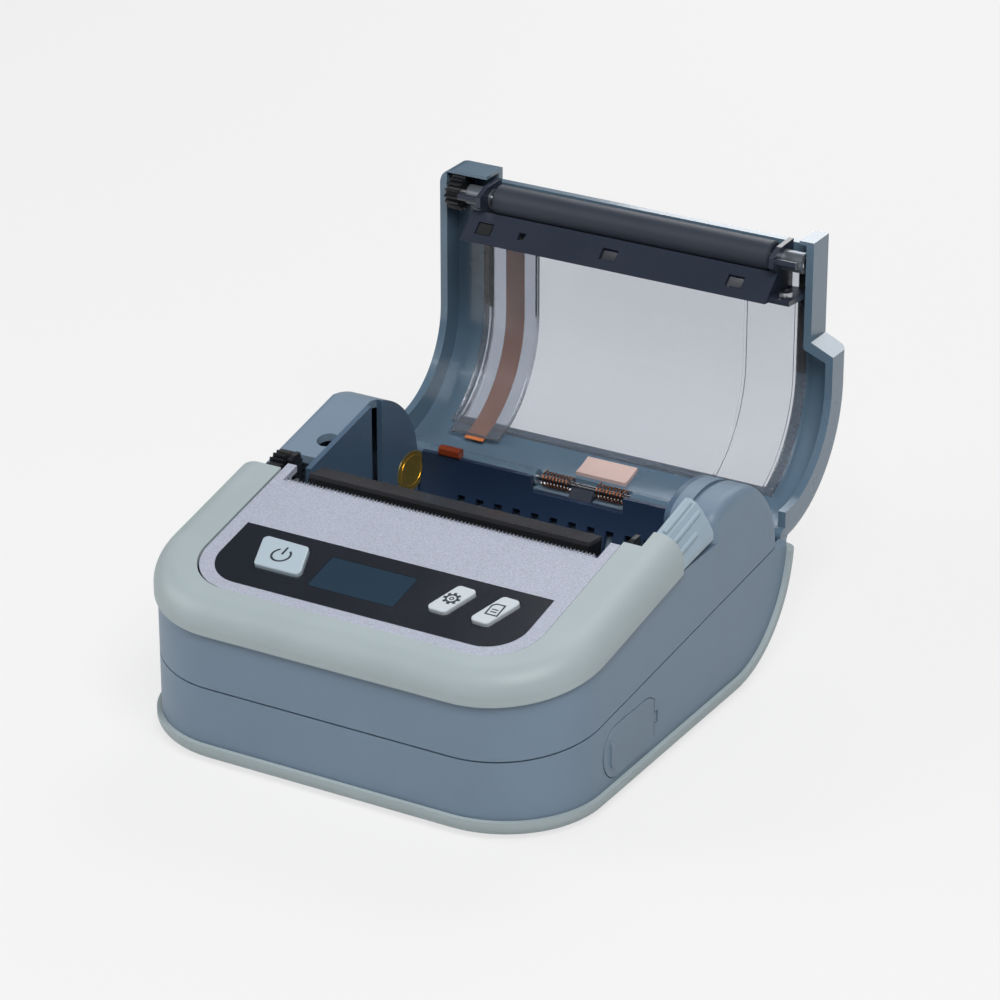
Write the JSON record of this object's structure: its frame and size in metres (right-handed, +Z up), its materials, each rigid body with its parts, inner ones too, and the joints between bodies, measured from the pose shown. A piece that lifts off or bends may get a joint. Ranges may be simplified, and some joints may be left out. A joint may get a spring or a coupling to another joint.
{
  "type": "portable label printer",
  "caption": "Portable label printer with a hinged lid and platen roller over a roll bay, a serrated tear edge, a sloping key panel and a soft rim",
  "frame": {"origin": "under the middle of the case, on the surface that the feet stand on", "axes": "+X to the right of someone facing the key panel, +Y from the front towards the hinge, +Z up; the lid stands open at a right angle"},
  "size_m": [0.1168, 0.1522, 0.0968],
  "materials": {
    "soft_rim": "soft grey moulded rubber, satin",
    "foot_rubber": "dark rubber, matt",
    "case_plastic": "blue-grey plastic, fine satin texture",
    "bumper_plastic": "light grey plastic, satin",
    "panel_plastic": "pale silver plastic with a fine speckle",
    "overlay_film": "dark glossy film",
    "display_glass": "dark display window, glossy",
    "module_plastic": "dark moulded plastic",
    "frame_plastic": "black moulded plastic",
    "blade_steel": "bare steel blade",
    "power_key": "pale blue-grey key",
    "small_key": "light grey key",
    "board": "green circuit board",
    "switch_plastic": "black switch bodies",
    "bay_plastic": "dark navy plastic, satin",
    "bracket_plastic": "black plastic, satin",
    "pin_steel": "ground steel",
    "spring_wire": "copper-coloured spring wire",
    "lid_plastic": "dark teal plastic, half gloss",
    "window_plastic": "clear smoky plastic",
    "flex": "orange flexible printed cable",
    "flex_clear": "clear plastic strip",
    "clamp_plastic": "red-brown plastic",
    "pad_foam": "pinkish felt pad",
    "bushing_plastic": "black bearing plastic",
    "roller_rubber": "dark platen rubber",
    "gear_plastic": "black gear plastic",
    "motor_metal": "dark painted metal can",
    "plate_metal": "bare aluminium plate",
    "sink_metal": "finned aluminium",
    "head_ceramic": "glazed ceramic strip",
    "latch_plastic": "pale blue-grey plastic, satin",
    "hook_plastic": "black plastic",
    "battery_wrap": "blue wrapped cells",
    "socket_metal": "bright steel shell",
    "cover_rubber": "blue-grey soft cover",
    "gold": "gold foil seal",
    "sensor_plastic": "black glossy sensor",
    "screw_steel": "zinc-plated steel"
  },
  "bodies": {
    "case": {"base_bumper": "soft_rim", "feet": "foot_rubber", "lower_case": "case_plastic", "case_screws": "screw_steel", "upper_case": "case_plastic", "top_bumper": "bumper_plastic", "front_panel": "panel_plastic", "panel_frame": "frame_plastic", "control_overlay": "overlay_film", "display_glass": "display_glass", "display_module": "module_plastic", "tear_bar": "blade_steel", "key_board": "board", "key_switches": "switch_plastic", "roll_bay": "bay_plastic", "left_cheek": "bay_plastic", "right_cheek": "bay_plastic", "hinge_bracket": "bracket_plastic", "hinge_pin": "pin_steel", "hinge_spring_left": "spring_wire", "hinge_spring_right": "spring_wire", "flex_clamp": "clamp_plastic", "stepper_motor": "motor_metal", "gear_plate": "plate_metal", "gear_posts": "pin_steel", "print_head": "head_ceramic", "head_heatsink": "sink_metal", "latch_pin": "pin_steel", "battery_pack": "battery_wrap", "main_board": "board", "usb_port": "socket_metal", "usb_board": "board", "port_anchor": "cover_rubber", "paper_sensor": "sensor_plastic", "gold_seal": "gold"},
    "lid": {"lid_frame": "lid_plastic", "lid_window": "window_plastic", "flex_cable": "flex", "flex_cover": "flex_clear", "lid_pad": "pad_foam", "platen_bracket": "bracket_plastic", "platen_bushings": "bushing_plastic", "bracket_screws": "screw_steel", "lid_sensor": "sensor_plastic"},
    "platen": {"platen_shaft": "pin_steel", "platen_rubber": "roller_rubber", "platen_gear": "gear_plastic"},
    "drive": {"drive_gear": "gear_plastic"},
    "idler": {"idler_gear": "gear_plastic"},
    "pinion": {"motor_pinion": "gear_plastic"},
    "power_key": {"power_button": "power_key"},
    "settings_key": {"settings_button": "small_key"},
    "feed_key": {"feed_button": "small_key"},
    "latch_key": {"latch_button": "latch_plastic"},
    "hooks": {"latch_hooks": "hook_plastic"},
    "port_flap": {"port_cover": "cover_rubber"}
  },
  "joints": [
    {"name": "lid_hinge", "type": "hinge", "parent": "case", "child": "lid", "pos_m": [0, 0.059, 0.0305], "axis": [1, 0, 0], "range_deg": [0, 90]},
    {"name": "platen_spin", "type": "hinge", "parent": "lid", "child": "platen", "pos_m": [0, 0.0836, 0.091], "axis": [1, 0, 0], "continuous": true},
    {"name": "idler_spin", "type": "hinge", "parent": "case", "child": "idler", "pos_m": [0, -0.00607, 0.03887], "axis": [1, 0, 0], "continuous": true},
    {"name": "drive_spin", "type": "hinge", "parent": "case", "child": "drive", "pos_m": [0, 0.00048, 0.0452], "axis": [1, 0, 0], "continuous": true},
    {"name": "motor_spin", "type": "hinge", "parent": "case", "child": "pinion", "pos_m": [0, -0.00765, 0.02991], "axis": [1, 0, 0], "continuous": true},
    {"name": "power_press", "type": "slide", "parent": "case", "child": "power_key", "axis": [0, 0.2113, -0.9774], "range_m": [0, 0.0006], "stiffness_N_per_m": 800},
    {"name": "settings_press", "type": "slide", "parent": "case", "child": "settings_key", "axis": [0, 0.2113, -0.9774], "range_m": [0, 0.0006], "stiffness_N_per_m": 800},
    {"name": "feed_press", "type": "slide", "parent": "case", "child": "feed_key", "axis": [0, 0.2113, -0.9774], "range_m": [0, 0.0006], "stiffness_N_per_m": 800},
    {"name": "latch_press", "type": "hinge", "parent": "case", "child": "latch_key", "pos_m": [0.0525, 0.0054, 0.049], "axis": [1, 0, 0], "range_deg": [-6.5, 0], "stiffness_Nm_per_rad": 0.05},
    {"name": "hook_turn", "type": "hinge", "parent": "case", "child": "hooks", "pos_m": [0, 0.0015, 0.041], "axis": [1, 0, 0], "range_deg": [-5, 0]},
    {"name": "port_cover_hinge", "type": "hinge", "parent": "case", "child": "port_flap", "pos_m": [0.0567, -0.0092, 0.0128], "axis": [0, 0, 1], "range_deg": [0, 100]}
  ],
  "couplings": [
    {"joint": "idler_spin", "follows": "drive_spin", "ratio": -2},
    {"joint": "motor_spin", "follows": "drive_spin", "ratio": 4},
    {"joint": "hook_turn", "follows": "latch_press", "ratio": 0.75}
  ]
}
